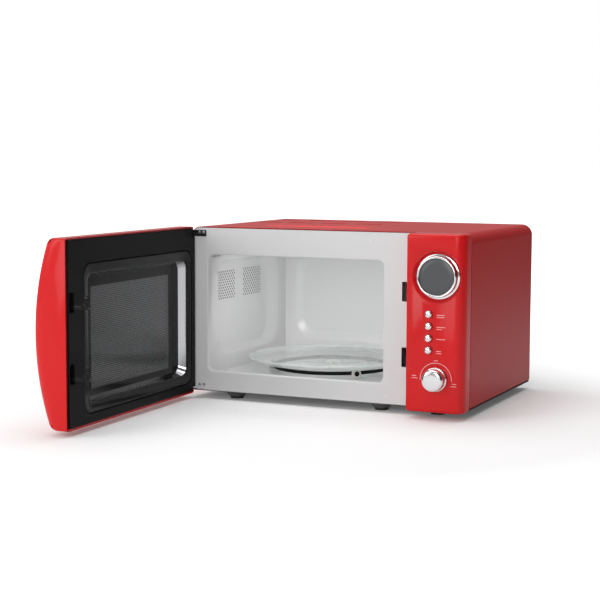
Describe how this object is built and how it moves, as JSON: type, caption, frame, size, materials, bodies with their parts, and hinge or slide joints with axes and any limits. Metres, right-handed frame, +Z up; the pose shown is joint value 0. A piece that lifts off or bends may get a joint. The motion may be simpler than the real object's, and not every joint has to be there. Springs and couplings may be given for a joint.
{
  "type": "microwave oven",
  "caption": "Countertop microwave oven with a side-hinged door, glass turntable, round display, push buttons and a rotary knob.",
  "frame": {"origin": "on the worktop under the centre of the box around the whole oven with its door open", "axes": "+Y from the front to the rear of the cabinet, +X to the oven's right as its user faces it, +Z up"},
  "size_m": [0.4851, 0.6606, 0.258],
  "materials": {
    "red_paint": "gloss enamel over folded steel",
    "red_plastic": "gloss moulded plastic",
    "grey_paint": "satin powder coat",
    "bare_steel": "zinc plated",
    "black_plastic": "satin moulded plastic",
    "chrome": "polished plating",
    "dark_lens": "smoked clear plastic",
    "tray_glass": "toughened clear glass",
    "dark_glass": "tinted pane",
    "clear_pane": "clear film",
    "white_plastic": "heat resistant moulding",
    "rubber": "moulded rubber",
    "aluminium": "pressed sheet",
    "cast_steel": "varnished laminations",
    "copper_winding": "varnished wire",
    "circuit_board": "laminate",
    "mica": "pressed mica",
    "lamp_glass": "clear bulb"
  },
  "bodies": {
    "cabinet": {"back_plate": "grey_paint", "base_plate": "grey_paint", "cabinet_wrapper": "red_paint", "capacitor": "aluminium", "case_screws": "bare_steel", "cavity_floor": "grey_paint", "cavity_front_plate": "grey_paint", "cavity_rear": "grey_paint", "cavity_shell": "grey_paint", "control_board": "circuit_board", "control_panel": "red_plastic", "cord_gland": "black_plastic", "display_bezel": "chrome", "display_lens": "dark_lens", "display_module": "black_plastic", "door_switches": "black_plastic", "fan_motor": "bare_steel", "fan_shroud": "white_plastic", "filter_board": "circuit_board", "interlock_frame": "white_plastic", "lower_hinge": "bare_steel", "magnetron": "bare_steel", "magnetron_fins": "aluminium", "oven_lamp": "lamp_glass", "rubber_feet": "rubber", "selector_encoder": "black_plastic", "transformer_core": "cast_steel", "transformer_windings": "copper_winding", "turntable_motor": "bare_steel", "upper_hinge": "bare_steel", "waveguide": "bare_steel", "waveguide_cover": "mica"},
    "door": {"door_shell": "red_plastic", "door_frame": "black_plastic", "choke_cover": "black_plastic", "door_screen": "bare_steel", "inner_pane": "clear_pane", "outer_glass": "dark_glass", "latch_spring": "bare_steel"},
    "latch": {"latch_hooks": "black_plastic"},
    "coupler": {"drive_coupler": "white_plastic"},
    "tray": {"glass_tray": "tray_glass"},
    "ring": {"roller_ring": "black_plastic"},
    "roller_a": {"roller_1": "white_plastic"},
    "roller_b": {"roller_2": "white_plastic"},
    "roller_c": {"roller_3": "white_plastic"},
    "push_1": {"button_1": "chrome"},
    "push_2": {"button_2": "chrome"},
    "push_3": {"button_3": "chrome"},
    "push_4": {"button_4": "chrome"},
    "knob": {"selector_knob": "chrome", "knob_shaft": "white_plastic"},
    "fan": {"fan_blade": "white_plastic"}
  },
  "joints": [
    {"name": "door_swing", "type": "hinge", "parent": "cabinet", "child": "door", "pos_m": [-0.1921, 0.0198, 0.13], "axis": [0, 0, 1], "range_deg": [-6, 88.8]},
    {"name": "latch_lift", "type": "slide", "parent": "door", "child": "latch", "axis": [0, 0, 1], "range_m": [0, 0.003], "stiffness_N_per_m": 300, "springref_m": -0.003, "deforming": ["latch_spring"]},
    {"name": "turntable_spin", "type": "hinge", "parent": "cabinet", "child": "coupler", "pos_m": [-0.0281, 0.1728, 0.04], "axis": [0, 0, 1], "continuous": true},
    {"name": "tray_lift", "type": "slide", "parent": "coupler", "child": "tray", "axis": [0, 0, 1], "range_m": [0, 0.03]},
    {"name": "ring_spin", "type": "hinge", "parent": "cabinet", "child": "ring", "pos_m": [-0.0281, 0.1728, 0.04], "axis": [0, 0, 1], "continuous": true},
    {"name": "roller_a_roll", "type": "hinge", "parent": "ring", "child": "roller_a", "pos_m": [0.04049, 0.10421, 0.0401], "axis": [0.7071, -0.7071, 0], "continuous": true},
    {"name": "roller_b_roll", "type": "hinge", "parent": "ring", "child": "roller_b", "pos_m": [-0.00299, 0.26649, 0.0401], "axis": [0.2588, 0.9659, 0], "continuous": true},
    {"name": "roller_c_roll", "type": "hinge", "parent": "ring", "child": "roller_c", "pos_m": [-0.12179, 0.14769, 0.0401], "axis": [-0.9659, -0.2588, 0], "continuous": true},
    {"name": "button_1_press", "type": "slide", "parent": "cabinet", "child": "push_1", "axis": [0, 1, 0], "range_m": [0, 0.0015], "stiffness_N_per_m": 400, "springref_m": -0.001},
    {"name": "button_2_press", "type": "slide", "parent": "cabinet", "child": "push_2", "axis": [0, 1, 0], "range_m": [0, 0.0015], "stiffness_N_per_m": 400, "springref_m": -0.001},
    {"name": "button_3_press", "type": "slide", "parent": "cabinet", "child": "push_3", "axis": [0, 1, 0], "range_m": [0, 0.0015], "stiffness_N_per_m": 400, "springref_m": -0.001},
    {"name": "button_4_press", "type": "slide", "parent": "cabinet", "child": "push_4", "axis": [0, 1, 0], "range_m": [0, 0.0015], "stiffness_N_per_m": 400, "springref_m": -0.001},
    {"name": "knob_turn", "type": "hinge", "parent": "cabinet", "child": "knob", "pos_m": [0.2034, -0.0142, 0.0575], "axis": [0, 1, 0], "continuous": true},
    {"name": "fan_spin", "type": "hinge", "parent": "cabinet", "child": "fan", "pos_m": [0.1809, 0.2838, 0.178], "axis": [0, 1, 0], "continuous": true}
  ],
  "couplings": [
    {"joint": "ring_spin", "follows": "turntable_spin", "ratio": 0.5},
    {"joint": "roller_a_roll", "follows": "turntable_spin", "ratio": -6.831},
    {"joint": "roller_b_roll", "follows": "turntable_spin", "ratio": -6.831},
    {"joint": "roller_c_roll", "follows": "turntable_spin", "ratio": -6.831}
  ]
}
